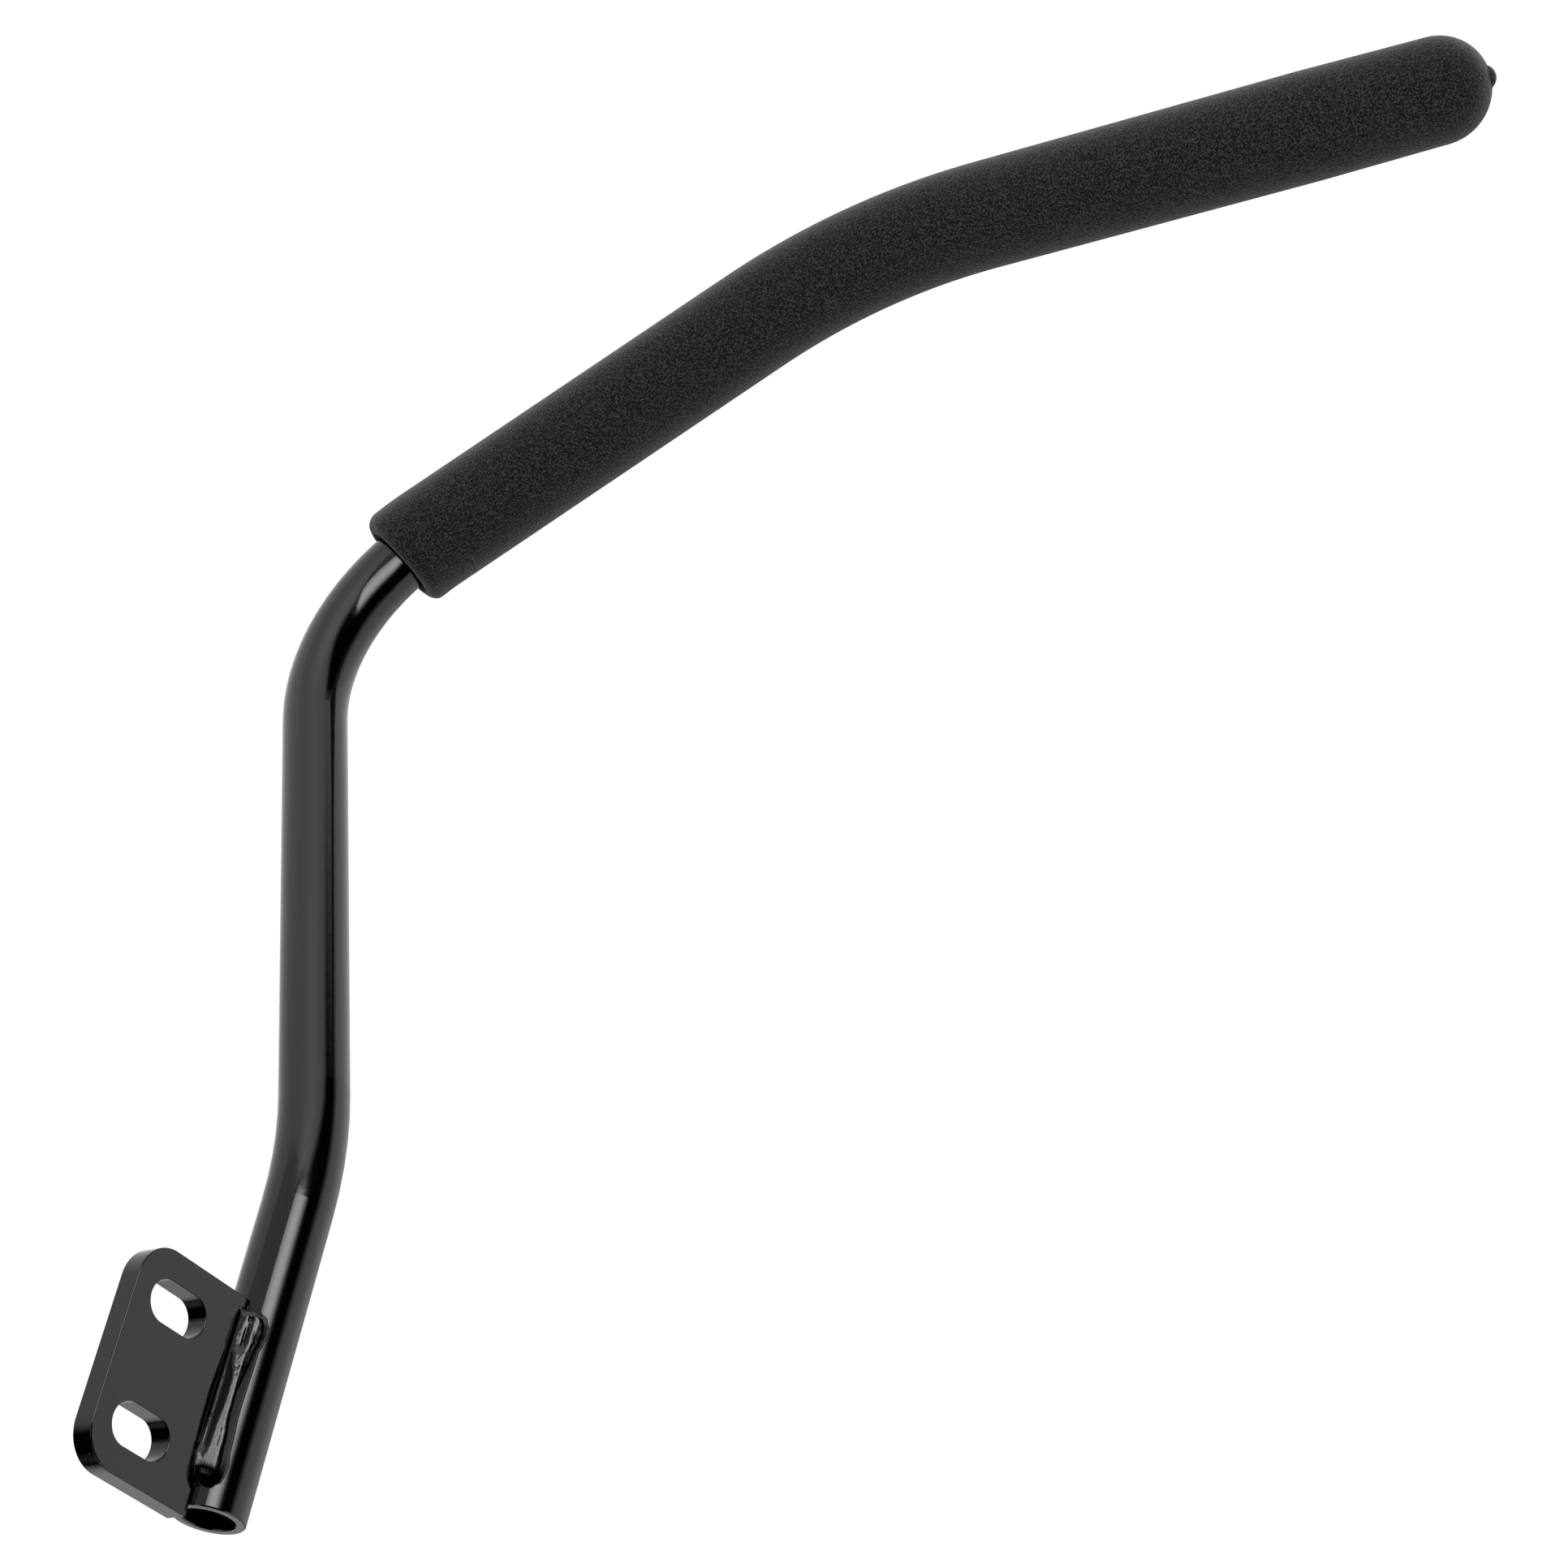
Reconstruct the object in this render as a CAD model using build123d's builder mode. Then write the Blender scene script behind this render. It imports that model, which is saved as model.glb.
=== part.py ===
# Bed assist rail: a bent steel handle tube welded along the edge of a slotted
# mounting plate, with a closed-end foam grip pulled over its upper end.
# Millimetres, +Z up. The origin is on the plate's front face, midway between its
# two slots. +X runs across the plate to the tube, and -Y is the front, the way
# in which the handle reaches.
import os
from math import acos, atan2, cos, degrees, hypot, radians, sin, tan

from build123d import *

# Handle tube, bent three times in one upright plane.
tube_outside = 23.0
tube_wall = 3.2
tube_edge_break = 0.4
lower_leg = 123.0  # from the cut end to the first corner
middle_leg = 235.0
upper_leg = 243.0
grip_leg = 218.0  # from the last corner to the tube's hidden end
lean_back_bend = 16.5  # degrees, away from the front
reach_bend = 69.0  # degrees, over to the front
grip_bend = 29.0  # degrees, on towards level
lean_back_radius = 145.0  # bend radii are to the tube's centreline
reach_radius = 75.0
grip_radius_of_bend = 185.0
bend_plane_turn = 11.0  # degrees between the bend plane and the plate's normal

# Mounting plate, edge on to the tube.
plate_thickness = 7.5
plate_height = 69.4
plate_corner_radius = 12.0
plate_edge_round = 0.4
plate_below_tube = 4.0  # how far the plate reaches below the tube's cut end
plate_set_back = 0.7  # from the tube's axis to the middle of the plate's thickness
free_edge_to_slot = 18.5  # to the slot's centre
slot_to_tube_axis = 37.0
slot_width = 13.2
slot_length = 23.0
slot_spacing = 38.6
root_gap = 0.1  # between the plate's edge and the tube

# Weld beads in the two corners between plate and tube.
bead_leg = 2.9  # along the plate's face
bead_wrap = 50.0  # degrees round the tube
bead_crown = 1.3  # how far the bead's face bulges
bead_above_tube_end = 6.0
bead_below_plate_top = 2.0
weld_prep = 2.0  # depth into the plate of the bevelled edge that each bead fills

# Foam grip.
grip_outside = 39.0
grip_overrun = 15.0  # how far its mouth comes back over the reach bend
grip_fit = 0.0  # radial clearance on the tube, as the foam is stretched on
grip_lip_round = 4.5
mouth_gap = 2.4  # how far the mouth stands off the tube
mouth_depth = 17.0
grip_taper = 0.7  # how much the radius draws in before the dome
grip_taper_length = 50.0  # back from the tube's hidden end
dome_reach = 14.0  # how far the dome stands past the tube's hidden end
nub_radius = 4.3
nub_height = 2.5

tube_radius = tube_outside / 2
grip_radius = grip_outside / 2

# The tube's centreline at its cut end.
tube_x = slot_to_tube_axis
tube_y = plate_thickness / 2 - plate_set_back
tube_bottom = plate_below_tube - plate_height / 2

# The bend plane holds the way the handle reaches and the way up.
turn = radians(bend_plane_turn)
reach = Vector(sin(turn), -cos(turn), 0)
up = Vector(0, 0, 1)
across_bends = reach.cross(up)
cut_end = Vector(tube_x, tube_y, tube_bottom)


def leg_direction(tilt):
    """Direction of a leg that tilts by this angle from upright to the front."""
    return reach * sin(radians(tilt)) + up * cos(radians(tilt))


lower_way = leg_direction(0)
middle_way = leg_direction(-lean_back_bend)
upper_way = leg_direction(-lean_back_bend + reach_bend)
grip_way = leg_direction(-lean_back_bend + reach_bend + grip_bend)

# Corners of the centreline, from the cut end to the hidden end.
first_corner = cut_end + lower_way * lower_leg
second_corner = first_corner + middle_way * middle_leg
third_corner = second_corner + upper_way * upper_leg
hidden_end = third_corner + grip_way * grip_leg
tube_corners = [cut_end, first_corner, second_corner, third_corner, hidden_end]
bend_radii = [lean_back_radius, reach_radius, grip_radius_of_bend]

# The grip's mouth is square to the upper leg, on that leg's line.
reach_setback = reach_radius * tan(radians(reach_bend / 2))
mouth = second_corner + upper_way * (reach_setback - grip_overrun)


def plane_across(point, way):
    """A plane at a point of the centreline, square to it."""
    return Plane(origin=point, x_dir=across_bends, z_dir=way)


def plane_along(point, way):
    """The bend plane at a point of the centreline, with its local x along the leg."""
    return Plane(origin=point, x_dir=way, z_dir=across_bends)


# Handle tube
with BuildPart() as handle_tube:
    with BuildLine():
        tube_line = FilletPolyline(*tube_corners, radius=bend_radii)
    with BuildSketch(plane_across(cut_end, lower_way)):
        Circle(tube_radius)
        Circle(tube_radius - tube_wall, mode=Mode.SUBTRACT)
    sweep(path=tube_line)
    chamfer(handle_tube.edges().group_by(Axis.Z)[0], tube_edge_break)

handle_tube.part.label = "handle_tube"

# Mounting plate, bevelled along the beads
plate_edge_x = tube_x - tube_radius - root_gap
plate_width = plate_edge_x + free_edge_to_slot
bead_bottom = tube_bottom + bead_above_tube_end
bead_length = plate_height / 2 - bead_below_plate_top - bead_bottom


def plate_toe(face_y):
    """Where a bead meets the plate's flat face, which is also where the bevel starts."""
    return Vector(plate_edge_x - bead_leg, face_y)


def bevel_root(face_y, side):
    """The deep end of the bevel, on the plate's edge; side is -1 in front and 1 behind."""
    return Vector(plate_edge_x, face_y - side * weld_prep)


with BuildPart() as mounting_plate:
    with BuildSketch(Plane.XZ):
        with Locations(((plate_edge_x - free_edge_to_slot) / 2, 0)):
            blank = Rectangle(plate_width, plate_height)
        fillet(blank.vertices().group_by(Axis.X)[0], plate_corner_radius)
        with GridLocations(0, slot_spacing, 1, 2):
            SlotOverall(slot_length, slot_width, mode=Mode.SUBTRACT)
    extrude(amount=-plate_thickness)
    plate_faces = mounting_plate.faces().filter_by(Axis.Y)
    face_edges = [edge for face in plate_faces for edge in face.edges().sort_by(Axis.X)[:-1]]
    fillet(face_edges, plate_edge_round)
    for face_y, side in ((0, -1), (plate_thickness, 1)):
        with BuildSketch(Plane.XY.offset(bead_bottom)):
            with BuildLine():
                Polyline(
                    plate_toe(face_y),
                    Vector(plate_edge_x, face_y),
                    bevel_root(face_y, side),
                    close=True,
                )
            make_face()
        extrude(amount=bead_length, mode=Mode.SUBTRACT)

mounting_plate.part.label = "mounting_plate"

# Weld beads


def make_bead(face_y, side):
    """The bead in the corner at one face of the plate; side is -1 in front and 1 behind."""
    centre = Vector(tube_x, tube_y)
    toe = plate_toe(face_y)
    wrap = radians(bead_wrap)
    tube_toe = centre + Vector(-cos(wrap), side * sin(wrap)) * tube_radius
    chord = tube_toe - toe
    outwards = Vector(chord.Y, -chord.X).normalized() * -side
    crown = (toe + tube_toe) / 2 + outwards * bead_crown
    with BuildPart() as bead:
        with BuildSketch(Plane.XY.offset(bead_bottom)):
            with BuildLine():
                ThreePointArc(toe, crown, tube_toe)
                Polyline(tube_toe, centre, bevel_root(face_y, side), toe)
            make_face()
            with Locations(centre):
                Circle(tube_radius, mode=Mode.SUBTRACT)
        extrude(amount=bead_length)
    return bead.part


front_weld = make_bead(0, -1)
front_weld.label = "front_weld"
rear_weld = make_bead(plate_thickness, 1)
rear_weld.label = "rear_weld"

# Foam grip: a slight cone runs smoothly into a ball-shaped dome.
taper_start = hidden_end - grip_way * grip_taper_length
dome_radius = grip_radius - grip_taper
dome_centre = dome_reach - dome_radius
cone_reach = dome_centre + grip_taper_length
cone_angle = degrees(acos(dome_radius / hypot(cone_reach, grip_radius)))
cone_angle = cone_angle - degrees(atan2(cone_reach, grip_radius))
dome_middle = Vector(dome_centre, 0)
shoulder_end = dome_middle + Vector(1, 0).rotate(Axis.Z, 90 - cone_angle) * dome_radius
crown_middle = dome_middle + Vector(1, 0).rotate(Axis.Z, 45) * dome_radius

with BuildPart() as foam_grip:
    with BuildLine():
        grip_line = FilletPolyline(mouth, third_corner, taper_start, radius=grip_radius_of_bend)
    with BuildSketch(plane_across(mouth, upper_way)):
        Circle(grip_radius)
    sweep(path=grip_line)
    mouth_face = foam_grip.faces().sort_by_distance(mouth)[0]
    fillet(mouth_face.edges(), grip_lip_round)
    with BuildSketch(plane_along(hidden_end, grip_way)):
        with BuildLine():
            Line((-grip_taper_length, 0), (-grip_taper_length, grip_radius))
            Line((-grip_taper_length, grip_radius), shoulder_end)
            ThreePointArc(shoulder_end, crown_middle, (dome_reach, 0))
            Line((dome_reach, 0), (-grip_taper_length, 0))
        make_face()
    revolve(axis=Axis(hidden_end, grip_way))
    with BuildSketch(plane_along(hidden_end + grip_way * dome_reach, grip_way)):
        with Locations((nub_height - nub_radius, 0)):
            Circle(nub_radius)
        with Locations((0, -nub_radius)):
            Rectangle(4 * nub_radius, 2 * nub_radius, mode=Mode.SUBTRACT)
    revolve(axis=Axis(hidden_end, grip_way))
    with BuildSketch(plane_across(cut_end, lower_way)):
        Circle(tube_radius + grip_fit)
    sweep(path=tube_line, mode=Mode.SUBTRACT)
    with BuildSketch(plane_along(mouth, upper_way)):
        with BuildLine():
            Polyline(
                (0, 0),
                (0, tube_radius + mouth_gap),
                (mouth_depth, tube_radius),
                (mouth_depth, 0),
                close=True,
            )
        make_face()
    revolve(axis=Axis(mouth, upper_way), mode=Mode.SUBTRACT)

foam_grip.part.label = "foam_grip"

os.makedirs("parts", exist_ok=True)
for piece in (handle_tube.part, mounting_plate.part, front_weld, rear_weld, foam_grip.part):
    export_step(piece, f"parts/{piece.label}.step")

tube_section = 3.14159265 * (tube_radius**2 - (tube_radius - tube_wall) ** 2)
print("centreline length", round(tube_line.length, 1))
print("section times length", round(tube_section * tube_line.length))
print("tube volume", round(handle_tube.part.volume))
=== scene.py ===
import math

import bmesh
import bpy
from mathutils import Matrix, Vector, noise


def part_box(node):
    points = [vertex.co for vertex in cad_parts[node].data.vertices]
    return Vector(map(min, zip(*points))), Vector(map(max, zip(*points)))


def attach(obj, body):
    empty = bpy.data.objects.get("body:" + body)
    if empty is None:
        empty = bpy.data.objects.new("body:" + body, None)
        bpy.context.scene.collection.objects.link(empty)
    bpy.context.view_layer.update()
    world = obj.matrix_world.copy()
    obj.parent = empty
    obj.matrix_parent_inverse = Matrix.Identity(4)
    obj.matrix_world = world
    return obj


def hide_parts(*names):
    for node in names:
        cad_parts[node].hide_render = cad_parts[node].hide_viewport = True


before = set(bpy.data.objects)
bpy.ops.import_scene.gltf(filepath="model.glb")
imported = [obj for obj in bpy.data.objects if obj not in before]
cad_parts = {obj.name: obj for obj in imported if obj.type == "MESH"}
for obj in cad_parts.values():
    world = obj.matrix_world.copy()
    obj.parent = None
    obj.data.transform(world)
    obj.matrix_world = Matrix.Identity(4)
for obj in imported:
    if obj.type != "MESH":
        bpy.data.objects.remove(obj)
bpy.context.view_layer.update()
collection = bpy.context.scene.collection
mm = 0.001


# Shader maths: a Wire is one socket of a node tree, and sums of wires add Math nodes.
class Wire:
    def __init__(self, tree, socket):
        self.tree = tree
        self.socket = socket

    def maths(self, operation, *values):
        return addNode(self.tree, "ShaderNodeMath", {"operation": operation}, dict(enumerate(values)))

    def __add__(self, other):
        return self.maths("ADD", self, other)

    __radd__ = __add__

    def __sub__(self, other):
        return self.maths("SUBTRACT", self, other)

    def __rsub__(self, other):
        return self.maths("SUBTRACT", other, self)

    def __mul__(self, other):
        return self.maths("MULTIPLY", self, other)

    def __truediv__(self, other):
        return self.maths("DIVIDE", self, other)

    def ramp(self, low, high, toLow=0.0, toHigh=1.0):
        settings = {"interpolation_type": "SMOOTHSTEP"}
        values = {0: self, 1: low, 2: high, 3: toLow, 4: toHigh}
        return addNode(self.tree, "ShaderNodeMapRange", settings, values)


def addNode(tree, kind, settings=None, values=None, output=0):
    node = tree.nodes.new(kind)
    for name, value in (settings or {}).items():
        setattr(node, name, value)
    for name, value in (values or {}).items():
        if isinstance(value, Wire):
            tree.links.new(value.socket, node.inputs[name])
        else:
            node.inputs[name].default_value = value
    return Wire(tree, node.outputs[output]) if node.outputs else None


def newMaterial(name, fixed):
    material = bpy.data.materials.new(name)
    material.use_nodes = True
    tree = material.node_tree
    shader = next(node for node in tree.nodes if node.type == "BSDF_PRINCIPLED")
    for socket, value in fixed.items():
        shader.inputs[socket].default_value = value
    place = addNode(tree, "ShaderNodeTexCoord", output=3)
    return material, tree, shader, place


def mixTones(tree, part, dark, pale):
    return addNode(tree, "ShaderNodeMix", {"data_type": "RGBA"}, {0: part, 6: dark, 7: pale}, output=2)


def feed(tree, shader, **wires):
    for name, wire in wires.items():
        tree.links.new(wire.socket, shader.inputs[name.replace("_", " ")])


def addObject(name, mesh):
    piece = bpy.data.objects.new(name, mesh)
    collection.objects.link(piece)
    return piece


def gridMesh(halfSide=0.5, cells=(1, 1)):
    bm = bmesh.new()
    bmesh.ops.create_grid(bm, x_segments=cells[0], y_segments=cells[1], size=halfSide)
    return bm


def finishMesh(bm, name, material):
    bmesh.ops.remove_doubles(bm, verts=bm.verts, dist=0.01 * mm)
    bmesh.ops.recalc_face_normals(bm, faces=bm.faces)
    for face in bm.faces:
        face.smooth = True
    mesh = bpy.data.meshes.new(name)
    bm.to_mesh(mesh)
    bm.free()
    mesh.materials.append(material)
    return addObject(name, mesh)


# Camera, well below the handle and in front of its free side
cameraDetails = {
    "place": (-0.5527, -0.63965, -0.31489),
    "turn": (124.444, -9.604, -57.132),  # degrees
    "lens": 68.44,
}
cameraData = bpy.data.cameras.new("camera")
cameraData.lens = cameraDetails["lens"]
cameraData.sensor_width = 36
camera = addObject("camera", cameraData)
camera.location = cameraDetails["place"]
camera.rotation_euler = [math.radians(angle) for angle in cameraDetails["turn"]]
bpy.context.scene.camera = camera
bpy.context.scene.view_settings.view_transform = "Standard"
print("camera set")

# White studio with an unlit gap in front of the handle, and dark below level in front and behind
studio = {
    "white": 1.05,
    "gapLeft": (-0.95, -0.62),  # radians round from the front, where the gap fades in
    "gapRight": (0.20, 0.60),
    "gapTop": (0.88, 1.04),  # radians above level
    "glow": 0.80,
    "glowPlace": (-1.10, 0.42),
    "glowSize": 0.40,
    "gapLean": (0.30, 0.85, 0.0, 0.36),  # how far its left side leans with height
    "lowFront": (-0.34, -0.02),
    "lowFrontSides": ((-1.9, -1.6), (0.3, 0.6)),
    "lowBack": (-0.25, 0.15),
    "lowBackSides": ((-2.3, -1.5), (2.55, 2.85)),
    "underBack": (-0.95, -0.70),
    "backDim": 0.28,
    "rightDim": 0.5,
    "seen": 1.02,  # the backdrop's brightness straight to the camera
}
aimX, aimY = 0.037, 0.003  # where the softbox and the card face, close to the tube's axis
world = bpy.data.worlds.new("studio")
bpy.context.scene.world = world
world.use_nodes = True
sky = world.node_tree
sky.nodes.clear()
way = addNode(sky, "ShaderNodeTexCoord", output=0)
wayX, wayY, wayZ = (addNode(sky, "ShaderNodeSeparateXYZ", {}, {0: way}, output=axis) for axis in range(3))
around = wayX.maths("ARCTAN2", wayX, wayY * -1.0)
above = wayZ.maths("ARCSINE", wayZ)
leanLeft = above.ramp(*studio["gapLean"])
gap = (around - leanLeft).ramp(*studio["gapLeft"]) * (1.0 - around.ramp(*studio["gapRight"]))
gap = gap * (1.0 - above.ramp(*studio["gapTop"]))
sideOff = around - studio["glowPlace"][0]
upOff = above - studio["glowPlace"][1]
glow = around.maths("EXPONENT", (sideOff * sideOff + upOff * upOff) / -(studio["glowSize"] ** 2))
lowFront = 1.0 - above.ramp(*studio["lowFront"])
leftFront, rightFront = studio["lowFrontSides"]
lowFront = lowFront * around.ramp(*leftFront) * (1.0 - around.ramp(*rightFront))
lowBack = 1.0 - above.ramp(*studio["lowBack"])
leftBack, rightBack = studio["lowBackSides"]
backSides = (1.0 - around.ramp(*leftBack)) + around.ramp(*rightBack)
lowBack = lowBack * backSides * above.ramp(*studio["underBack"])
behind = around.maths("ABSOLUTE", around).ramp(1.75, 2.05)
backDim = 1.0 - behind * (1.0 - above.ramp(0.25, 0.60)) * studio["backDim"]
toRight = around.ramp(1.3, 2.0) * (1.0 - around.ramp(2.1, 2.4))
rightDim = 1.0 - toRight * (1.0 - above.ramp(0.3, 0.8)) * studio["rightDim"]
lowRight = above.ramp(-0.5, 0.0, 0.2, 0.0) * around.ramp(1.9, 2.3) + 1.0
light = (studio["white"] + glow * studio["glow"]) * (1.0 - gap) * (1.0 - lowFront) * (1.0 - lowBack)
light = light * backDim * rightDim * lowRight
seen = addNode(sky, "ShaderNodeLightPath", output=0)
strength = light * (1.0 - seen) + seen * studio["seen"]
backdrop = addNode(sky, "ShaderNodeBackground", {}, {0: (1, 1, 1, 1), 1: strength})
addNode(sky, "ShaderNodeOutputWorld", {}, {0: backdrop})

# Softbox, brightest in its upper middle, seen only in the gloss and as light
softbox = {
    "place": (-0.427, -0.462, 0.122),
    "size": (0.95, 0.60),
    "radiance": 7.2,
    "left": (-0.205, -0.165, 0.0),  # the sharp edge, then the end of its slow rise
    "leftShares": (0.64, 0.36),  # how much of the brightness each of the two brings
    "right": (0.07, 0.36),
    "tail": (0.25, 0.46),
    "rightShares": (0.95, 0.05),  # how much fades at the right edge, and in its tail
    "bottom": (-0.20, -0.02),
    "top": (0.262, 0.282),
}
softGlow, tree, shader, place = newMaterial(
    "softGlow",
    {
        "Base Color": (0, 0, 0, 1),
        "Roughness": 1.0,
        "Specular IOR Level": 0.0,
        "Emission Strength": softbox["radiance"],
    },
)
boxX, boxY = (addNode(tree, "ShaderNodeSeparateXYZ", {}, {0: place}, output=axis) for axis in range(2))
sharp, middle, slow = softbox["left"]
sharpShare, slowShare = softbox["leftShares"]
glow = boxX.ramp(sharp, middle, 0.0, sharpShare) + boxX.ramp(middle, slow, 0.0, slowShare)
mainShare, tailShare = softbox["rightShares"]
rightFade = mainShare - boxX.ramp(*softbox["right"], 0.0, mainShare)
glow = glow * (rightFade + tailShare - boxX.ramp(*softbox["tail"], 0.0, tailShare))
glow = glow * boxY.ramp(*softbox["bottom"])
glow = glow * (1.0 - boxY.ramp(*softbox["top"]))
feed(tree, shader, Emission_Color=mixTones(tree, glow, (0, 0, 0, 1), (1, 1, 1, 1)))
bm = gridMesh()
bmesh.ops.scale(bm, vec=(*softbox["size"], 1), verts=bm.verts)
softPanel = finishMesh(bm, "softPanel", softGlow)
softPanel.location = softbox["place"]
towards = Vector((aimX, aimY, softbox["place"][2])) - Vector(softbox["place"])
softPanel.rotation_euler = towards.to_track_quat("-Z", "Y").to_euler()
softPanel.visible_camera = softPanel.visible_shadow = False

# Wide light overhead, for the matt grip
overhead = {"place": (-0.2, -0.25, 1.3), "size": 0.9, "energy": 3.0}
lampData = bpy.data.lights.new("overhead", "AREA")
lampData.size = overhead["size"]
lampData.energy = overhead["energy"]
lamp = addObject("overhead", lampData)
lamp.location = overhead["place"]
lamp.visible_camera = lamp.visible_glossy = False

# Grey card beside the softbox, seen only in the gloss
card = {"distance": 0.62, "round": -88.0, "size": (0.58, 0.75), "top": 0.40, "grey": 0.66}
bm = gridMesh()
bmesh.ops.scale(bm, vec=(*card["size"], 1), verts=bm.verts)
stand = Matrix.Rotation(math.radians(card["round"]), 4, "Z")
stand = stand @ Matrix.Translation((0, -card["distance"], 0))
bmesh.ops.transform(bm, matrix=Matrix.Rotation(math.radians(90), 4, "X"), verts=bm.verts)
bmesh.ops.transform(bm, matrix=stand, verts=bm.verts)
bmesh.ops.translate(bm, verts=bm.verts, vec=(aimX, aimY, card["top"] - card["size"][1] / 2))
cardGrey = bpy.data.materials.new("cardGrey")
cardGrey.use_nodes = True
cardGrey.node_tree.nodes.clear()
glowNode = addNode(cardGrey.node_tree, "ShaderNodeEmission", {}, {1: card["grey"]})
addNode(cardGrey.node_tree, "ShaderNodeOutputMaterial", {}, {0: glowNode})
greyCard = finishMesh(bm, "greyCard", cardGrey)
greyCard.visible_camera = greyCard.visible_diffuse = greyCard.visible_shadow = False
print("studio lit")

# Floor, as far down as a bed frame's rail stands above it
floorDetails = {
    "height": -0.42,
    "halfSide": 1.6,
    "dark": (0.80, 0.80, 0.80, 1),
    "pale": (0.84, 0.84, 0.84, 1),
}
bm = gridMesh(floorDetails["halfSide"])
bmesh.ops.translate(bm, verts=bm.verts, vec=(0, 0, floorDetails["height"]))
floorMaterial, tree, shader, place = newMaterial("floorPale", {"Roughness": 0.9})
grain = addNode(tree, "ShaderNodeTexNoise", {}, {"Vector": place, "Scale": 3.0})
feed(tree, shader, Base_Color=mixTones(tree, grain, floorDetails["dark"], floorDetails["pale"]))
floor = finishMesh(bm, "floor", floorMaterial)
floor.visible_glossy = False
print("floor laid")

# Gloss black paint, with dust specks and pits under the gloss
paintDetails = {
    "tone": (0.0005, 0.0005, 0.0005, 1),
    "roughness": (0.08, 0.12),
    "peelScale": 260.0,
    "peelDepth": 0.02 * mm,
    "speckScale": 110.0,
    "speckSize": 0.05,
    "speckRough": 0.3,
    "speckPit": 1.5,  # as a share of the peel's depth
}


def makePaint(name, details):
    material, tree, shader, place = newMaterial(name, {"IOR": 1.5, "Base Color": details["tone"]})
    peelValues = {"Vector": place, "Scale": details["peelScale"], "Detail": 2.0}
    peel = addNode(tree, "ShaderNodeTexNoise", {}, peelValues)
    spots = addNode(tree, "ShaderNodeTexVoronoi", {}, {"Vector": place, "Scale": details["speckScale"]})
    speck = 1.0 - spots.ramp(details["speckSize"] * 0.5, details["speckSize"])
    low, high = details["roughness"]
    feed(tree, shader, Roughness=low + peel * (high - low) + speck * details["speckRough"])
    height = peel - speck * details["speckPit"]
    bumpValues = {"Strength": 1.0, "Distance": details["peelDepth"], "Height": height}
    feed(tree, shader, Normal=addNode(tree, "ShaderNodeBump", {}, bumpValues))
    return material


blackPaint = makePaint("blackPaint", paintDetails)
weldPaint = makePaint("weldPaint", {**paintDetails, "peelDepth": 0.015 * mm})
for node in ("handle_tube", "mounting_plate"):
    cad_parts[node].material_slots[0].material = blackPaint
print("paint on")

# The tube's path, from the plate's box and the handle's own lengths
path = {
    "tubeRadius": 11.5 * mm,
    "rootGap": 0.1 * mm,
    "setBack": 0.7 * mm,
    "legs": (123 * mm, 235 * mm, 243 * mm, 218 * mm),
    "bends": (-16.5, 69.0, 29.0),  # degrees, forwards
    "radii": (145 * mm, 75 * mm, 185 * mm),
    "turn": 11.0,  # degrees between the bends' plane and the plate's normal
}
plateLow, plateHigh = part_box("mounting_plate")
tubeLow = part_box("handle_tube")[0]
tubeRadius = path["tubeRadius"]
axisX = plateHigh.x + path["rootGap"] + tubeRadius
axisY = (plateLow.y + plateHigh.y) / 2 - path["setBack"]
cutEnd = Vector((axisX, axisY, tubeLow.z))
turn = math.radians(path["turn"])
reach = Vector((math.sin(turn), -math.cos(turn), 0))
bendAxis = reach.cross(Vector((0, 0, 1)))


def legWay(tilt):
    return reach * math.sin(math.radians(tilt)) + Vector((0, 0, math.cos(math.radians(tilt))))


corners = [cutEnd]
ways = []
tilt = 0
for length, bend in zip(path["legs"], (0,) + path["bends"]):
    tilt += bend
    ways.append(legWay(tilt))
    corners.append(corners[-1] + ways[-1] * length)


def extrudeRing(bm, ring, move, scale=1.0, centre=None):
    made = bmesh.ops.extrude_edge_only(bm, edges=ring)["geom"]
    verts = [item for item in made if isinstance(item, bmesh.types.BMVert)]
    edges = [item for item in made if isinstance(item, bmesh.types.BMEdge)]
    if scale != 1.0:
        bmesh.ops.scale(bm, vec=(scale,) * 3, verts=verts, space=Matrix.Translation(-centre))
    bmesh.ops.translate(bm, verts=verts, vec=move)
    return edges


# Foam grip
grip = {
    "radius": 19.5 * mm,
    "overrun": 15 * mm,
    "lipRound": 4.5 * mm,
    "boreGap": 0.1 * mm,
    "mouthGap": 2.4 * mm,
    "mouthDepth": 17 * mm,
    "taper": 0.7 * mm,
    "taperLength": 50 * mm,
    "domeReach": 14 * mm,
    "nubRadius": 4.6 * mm,
    "nubHeight": 1.8 * mm,
    "sides": 96,
    "step": 4 * mm,
    "bendSteps": 24,
}


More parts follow.
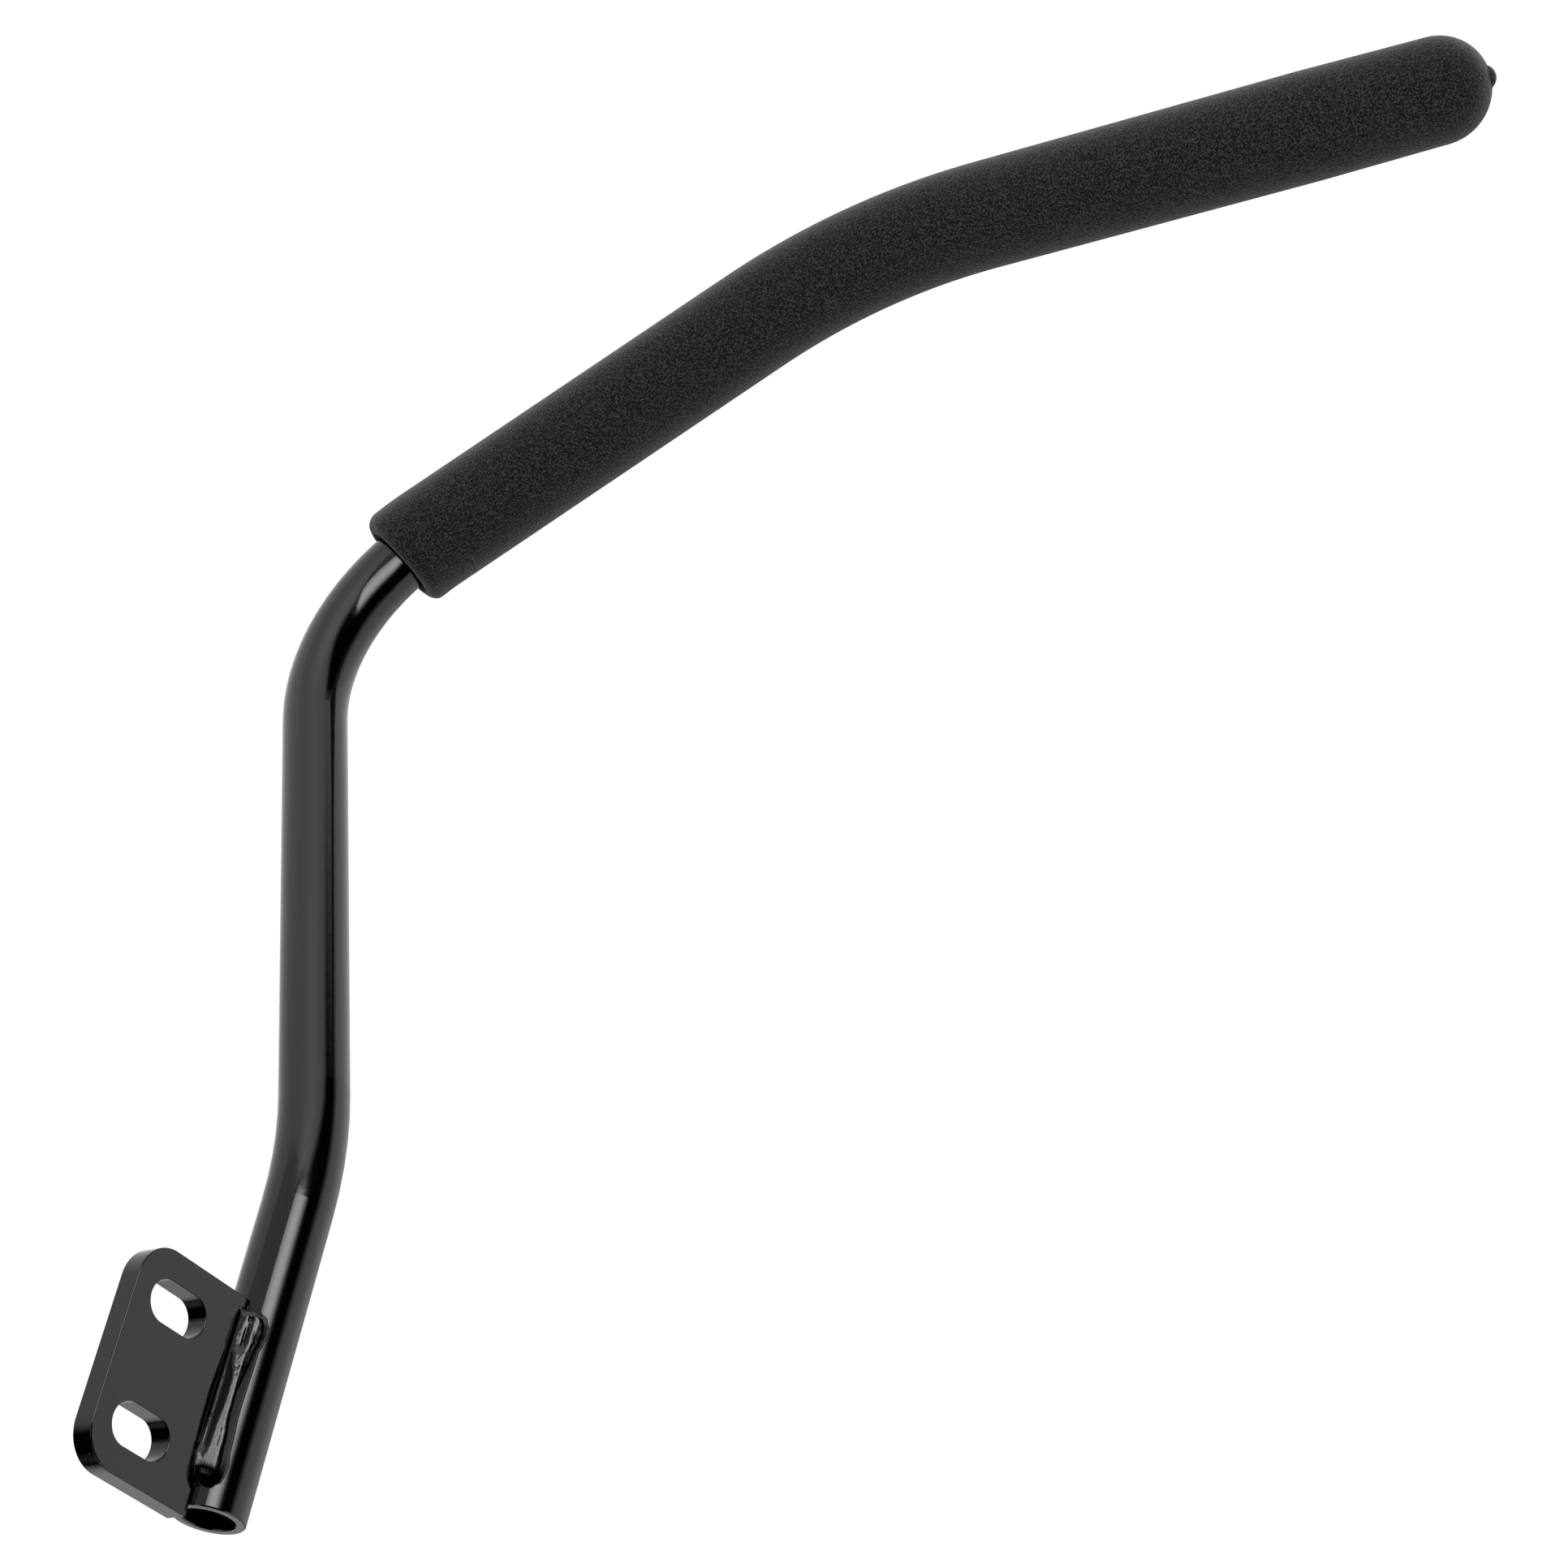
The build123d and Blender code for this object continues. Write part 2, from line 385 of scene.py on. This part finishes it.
def gripProfile():
    # pairs of distance along the leg and radius, for the bore's mouth and lip, then for the
    # cone, dome and nub
    radius, lip = grip["radius"], grip["lipRound"]
    bore = tubeRadius + grip["boreGap"]
    mouthRings = [(grip["mouthDepth"], bore)]
    mouthEdge = tubeRadius + grip["mouthGap"]
    for part in (0.75, 0.5, 0.25, 0.1):
        mouthRings.append((grip["mouthDepth"] * part, bore + (mouthEdge - bore) * (1 - part)))
    mouthRings += [(0.3 * mm, mouthEdge + 0.1 * mm), (0.0, mouthEdge + 0.5 * mm)]
    for step in range(0, 9):
        angle = math.radians(90 * step / 8)
        mouthRings.append((lip * (1 - math.cos(angle)), radius - lip * (1 - math.sin(angle))))
    ball = radius - grip["taper"]
    ballCentre = grip["domeReach"] - ball
    reachBack = ballCentre + grip["taperLength"]
    cone = math.acos(ball / math.hypot(reachBack, radius)) - math.atan2(reachBack, radius)
    shoulder = math.pi / 2 - cone
    nub, rise = grip["nubRadius"], grip["nubHeight"]
    nubFoot = math.sqrt(nub**2 - (nub - rise) ** 2)
    foot = math.asin(nubFoot / ball)
    coneStart, coneEnd = -grip["taperLength"], ballCentre + ball * math.cos(shoulder)
    nubMiddle = grip["domeReach"] + rise - nub
    domeRings = []
    for step in range(1, 12):
        part = step / 12
        along = coneStart + (coneEnd - coneStart) * part
        domeRings.append((along, radius + (ball * math.sin(shoulder) - radius) * part))
    for step in range(0, 21):
        angle = shoulder + (foot * 1.12 - shoulder) * step / 20
        domeRings.append((ballCentre + ball * math.cos(angle), ball * math.sin(angle)))
    start = math.asin(nubFoot / nub)
    for step in range(0, 8):
        angle = start * (1 - step / 8)
        domeRings.append((nubMiddle + nub * math.cos(angle), nub * math.sin(angle)))
    return mouthRings, domeRings


mouthRings, domeRings = gripProfile()
reachSetback = path["radii"][1] * math.tan(math.radians(path["bends"][1] / 2))
mouth = corners[2] + ways[2] * (reachSetback - grip["overrun"])
gripSetback = path["radii"][2] * math.tan(math.radians(path["bends"][2] / 2))
bendStart = corners[3] - ways[2] * gripSetback
sideways = ways[3] - ways[2] * ways[2].dot(ways[3])
bendCentre = bendStart + sideways.normalized() * path["radii"][2]
bendEnd = corners[3] + ways[3] * gripSetback


def runRings(bm, ring, rings, start, way, along, radius):
    for nextAlong, nextRadius in rings:
        centre = start + way * along
        ring = extrudeRing(bm, ring, way * (nextAlong - along), nextRadius / radius, centre)
        along, radius = nextAlong, nextRadius
    return ring


def followLegs(bm, ring, along, stop):
    # carries a ring along the upper leg, round the bend, to a stop measured from the last leg's end
    straight = (bendStart - mouth).length - along
    steps = round(straight / grip["step"])
    for step in range(steps):
        ring = extrudeRing(bm, ring, ways[2] * straight / steps)
    spun = bmesh.ops.spin(
        bm,
        geom=ring,
        cent=bendCentre,
        axis=bendAxis,
        angle=-math.radians(path["bends"][2]),
        steps=grip["bendSteps"],
        use_merge=False,
        use_duplicate=False,
    )
    ring = [item for item in spun["geom_last"] if isinstance(item, bmesh.types.BMEdge)]
    straight = (corners[4] - bendEnd).length + stop
    steps = round(straight / grip["step"])
    for step in range(steps):
        ring = extrudeRing(bm, ring, ways[3] * straight / steps)
    return ring


bm = bmesh.new()
across = Matrix((bendAxis, ways[2].cross(bendAxis), ways[2])).transposed().to_4x4()
firstAlong, firstRadius = mouthRings[0]
made = bmesh.ops.create_circle(bm, segments=grip["sides"], radius=firstRadius, matrix=across)
bmesh.ops.translate(bm, verts=made["verts"], vec=mouth + ways[2] * firstAlong)
firstRing = list({edge for vert in made["verts"] for edge in vert.link_edges})
ring = runRings(bm, firstRing, mouthRings[1:], mouth, ways[2], firstAlong, firstRadius)
coneStart = -grip["taperLength"]
ring = followLegs(bm, ring, mouthRings[-1][0], coneStart)
ring = runRings(bm, ring, domeRings, corners[4], ways[3], coneStart, grip["radius"])
bmesh.ops.contextual_create(bm, geom=ring)
boreEnd = followLegs(bm, firstRing, firstAlong, grip["boreGap"])
bmesh.ops.contextual_create(bm, geom=boreEnd)

# The mouth's last stretch follows the tube round the reach bend
reachEnd = corners[2] + ways[2] * reachSetback
inwards = ways[2] * ways[1].dot(ways[2]) - ways[1]
reachCentre = reachEnd + inwards.normalized() * path["radii"][1]
for vert in bm.verts:
    back = (reachEnd - vert.co).dot(ways[2])
    if 0 < back <= grip["overrun"] + mm:
        swing = Matrix.Rotation(back / path["radii"][1], 3, bendAxis)
        vert.co = reachCentre + swing @ (vert.co + ways[2] * back - reachCentre)

foamDetails = {
    "tone": (0.0006, 0.0006, 0.0006, 1),
    "toneLight": (0.0300, 0.0300, 0.0302, 1),
    "poreScale": 1500.0,
    "poreDepth": 0.45 * mm,
    "poreEdges": (0.43, 0.63),  # noise values for the dark and the light tone
}
gripFoam, tree, shader, place = newMaterial(
    "gripFoam",
    {"Roughness": 0.9, "Specular IOR Level": 0.18, "Sheen Weight": 0.26, "Sheen Roughness": 0.40},
)
poreValues = {"Vector": place, "Scale": foamDetails["poreScale"], "Detail": 3.0}
pores = addNode(tree, "ShaderNodeTexNoise", {}, poreValues)
tone = mixTones(tree, pores.ramp(*foamDetails["poreEdges"]), foamDetails["tone"], foamDetails["toneLight"])
bumpValues = {"Strength": 1.0, "Distance": foamDetails["poreDepth"], "Height": pores}
bump = addNode(tree, "ShaderNodeBump", {}, bumpValues)
feed(tree, shader, Base_Color=tone, Normal=bump)
foamGrip = finishMesh(bm, "foamGrip", gripFoam)
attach(foamGrip, "root")
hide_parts("foam_grip")
print("grip made")

# Weld beads. Each line runs up the bead, as pairs of height above the tube's cut end and
# distance across, square to the way that the bead faces. All in mm until the last step.
frontBead = {
    "facing": 42.3,  # degrees round from the plate's normal to its free side
    "ends": (5.6, 63.5),
    "crownEnds": (5.6, 61.9),  # level with the plate beyond these, over its bevel
    "endLength": (7.8, 3.4),
    "toe": (
        (5, -6.6), (8, -8.1), (11, -8.8), (14.5, -9.2), (19, -8.6), (30, -8.3), (54, -8.1),
        (58, -8.0), (63.5, -8.8),
    ),
    "grooveEnd": (
        (5, -6.3), (8, -7.7), (11, -8.4), (14.5, -8.8), (19, -8.2), (30, -7.9), (54, -7.8),
        (58, -7.6), (62, -7.4),
    ),
    "crestStart": (
        (5, -6.7), (14.5, -6.6), (17, -7.2), (24, -7.1), (38, -6.9), (45, -7.2), (49, -7.6),
        (62, -5.8),
    ),
    "crestEnd": (
        (5, -6.7), (14.5, -6.6), (17, -5.6), (24, -5.3), (32, -4.6), (39, -4.7), (45, -6.1),
        (49, -7.5), (62, -5.7),
    ),
    "ridgeEnd": (
        (5, -2.6), (12, -2.5), (20, -2.5), (26, -3.2), (40, -3.3), (47, -3.2), (52, -1.9),
        (57, -1.7), (62, -3.0),
    ),
    "flankEnd": (
        (5, -1.6), (12, -1.2), (20, -1.4), (26, -2.2), (35, -2.4), (40, -1.6), (46, -0.8),
        (55, 0.1), (62, -1.6),
    ),
    "tubeToe": (
        (5, -3.0), (6.2, -0.9), (8, 0.9), (10, 1.4), (13, 1.6), (18, 1.0), (30, 0.45), (49, 0.9),
        (52, 1.6), (54.5, 2.1), (57, 1.9), (60, 0.7), (62, -2.5),
    ),
    "lipWidth": 0.24,
    "lean": (-60.0, -7.0, -31.0, -7.0, 14.0, 34.0, 72.0),  # degrees each strip turns from the facing
    "shares": (1.0, 0.02, 0.08, 0.02, 0.02, 0.05, 0.0),  # how much each gives to close the section
    "dents": (  # height, distance across, half length, half width, how far out
        (52.6, -4.6, 3.2, 0.50, -0.55),
        (53.2, -2.9, 3.0, 0.75, 0.32),
        (58.3, -4.2, 0.9, 0.60, -0.70),
        (59.2, -3.3, 0.5, 0.45, 0.35),
        (40.2, -3.9, 0.35, 0.45, -0.12),
        (42.6, -4.1, 0.5, 0.5, -0.10),
        (19.0, -3.6, 1.3, 0.18, -0.12),
        (22.6, -3.7, 0.5, 0.20, -0.12),
    ),
    "ripple": 0.016,
    "seed": 3.0,
    "cells": (220, 56),  # along and across
    "leastStrip": 0.02,
    "easings": (2, 36),  # across and along
    "edgeCells": 8,
    "sink": 0.04,  # how far the rim goes into the steel
}
lineNames = ("toe", "grooveEnd", "crestStart", "crestEnd", "ridgeEnd", "flankEnd", "tubeToe")


def lineAt(line, height):
    if height <= line[0][0]:
        return line[0][1]
    for (low, first), (high, last) in zip(line, line[1:]):
        if height <= high:
            part = (height - low) / (high - low)
            return first + (last - first) * part * part * (3 - 2 * part)
    return line[-1][1]


def makeBead(name, bead, faceOff, side):
    # faceOff is how far the plate's face stands from the tube's axis, and side is -1 in front
    radius = tubeRadius / mm
    facing = math.radians(bead["facing"])
    across = Vector((math.cos(facing), -math.sin(facing)))
    outwards = Vector((-math.sin(facing), -math.cos(facing)))
    low, high = bead["ends"]
    corner = (radius**2 - faceOff**2) ** 0.5  # where the plate's face would meet the tube
    cornerMark = Vector((-corner, -faceOff)).dot(across)
    crownLow, crownHigh = bead["crownEnds"]
    lowLength, highLength = bead["endLength"]
    lengthCells, widthCells = bead["cells"]
    easeAcross, easeAlong = bead["easings"]
    slopes = [-math.tan(math.radians(lean)) for lean in bead["lean"]]
    bm = gridMesh(cells=bead["cells"])
    sections = {}
    for row in range(lengthCells + 1):
        height = low + (high - low) * row / lengthCells
        marks = [lineAt(bead[line], height) for line in lineNames]
        marks.insert(-1, marks[-1] - bead["lipWidth"])
        for strip in range(1, len(marks)):
            marks[strip] = max(marks[strip], marks[strip - 1] + bead["leastStrip"])
        start = Vector(((marks[0] - faceOff * math.sin(facing)) / math.cos(facing), -faceOff))
        depth = [start.dot(outwards)]
        widths = [after - before for before, after in zip(marks, marks[1:])]
        wanted = math.sqrt(radius**2 - marks[-1] ** 2)
        error = wanted - depth[0] - sum(slope * width for slope, width in zip(slopes, widths))
        spread = sum(share * width for share, width in zip(bead["shares"], widths))
        for slope, width, share in zip(slopes, widths, bead["shares"]):
            depth.append(depth[-1] + (slope + share * error / spread) * width)
        samples = []
        for column in range(widthCells + 1):
            mark = marks[0] + (marks[-1] - marks[0]) * column / widthCells
            for before in range(len(marks) - 1):
                if mark <= marks[before + 1] or before == len(marks) - 2:
                    part = (mark - marks[before]) / (marks[before + 1] - marks[before])
                    samples.append(depth[before] + (depth[before + 1] - depth[before]) * part)
                    break
        for easing in range(easeAcross):  # each strip into the next
            samples = [samples[0]] + [
                (samples[i - 1] + 2 * samples[i] + samples[i + 1]) / 4 for i in range(1, widthCells)
            ] + [samples[-1]]
        sections[row] = (height, marks, samples)
    for easing in range(easeAlong):  # each section into the next
        before = [list(sections[row][2]) for row in range(lengthCells + 1)]
        for row in range(1, lengthCells):
            nearby = zip(before[row - 1], before[row], before[row + 1])
            sections[row][2][:] = [(lower + 2 * own + upper) / 4 for lower, own, upper in nearby]
    for vert in bm.verts:
        row = round((vert.co.x + 0.5) * lengthCells)
        column = round((vert.co.y + 0.5) * widthCells)
        height, marks, samples = sections[row]
        mark = marks[0] + (marks[-1] - marks[0]) * column / widthCells
        out = samples[column]
        for dentHeight, dentMark, halfLength, halfWidth, push in bead["dents"]:
            far = ((height - dentHeight) / halfLength) ** 2 + ((mark - dentMark) / halfWidth) ** 2
            out += push * math.exp(-far)
        edge = min(column, widthCells - column) / bead["edgeCells"]
        rough = noise.noise(Vector((height * 0.9, mark * 1.6, bead["seed"])))
        rough += 0.5 * noise.noise(Vector((height * 2.4, mark * 3.0, bead["seed"] + 7)))
        out += bead["ripple"] * rough * min(1, edge)
        # the plate's face, then the tube, under this point of the bead
        plateOut = (faceOff + mark * -math.sin(facing)) / math.cos(facing)
        tubeOut = math.sqrt(max(0, radius**2 - mark**2))
        under = plateOut if mark < cornerMark else tubeOut
        rise = 1.0
        if height < crownLow + lowLength:
            part = (height - crownLow) / lowLength
            rise = math.sqrt(max(0, 1 - (1 - part) ** 2))
        if height > crownHigh - highLength:
            part = max(0, crownHigh - height) / highLength
            rise = math.sqrt(max(0, 1 - (1 - part) ** 2))
        out = under + (out - under) * rise - bead["sink"] * (1 - min(1, edge * rise * 3))
        flatPlace = across * mark + outwards * out
        vert.co = Vector((flatPlace.x, flatPlace.y * -side, height)) * mm + cutEnd
    finished = finishMesh(bm, name, weldPaint)
    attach(finished, "root")
    return finished


frontOff = (cutEnd.y - plateLow.y) / mm
rearOff = (plateHigh.y - cutEnd.y) / mm
frontWeld = makeBead("frontWeld", frontBead, frontOff, -1)
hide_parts("front_weld")
rearDents = ((12, -5.0, 2.0, 1.2, 0.3), (57, -4.5, 1.4, 0.9, -0.5))
rearBead = {**frontBead, "dents": rearDents, "seed": 21.0}
rearWeld = makeBead("rearWeld", rearBead, rearOff, 1)
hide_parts("rear_weld")
print("beads laid")
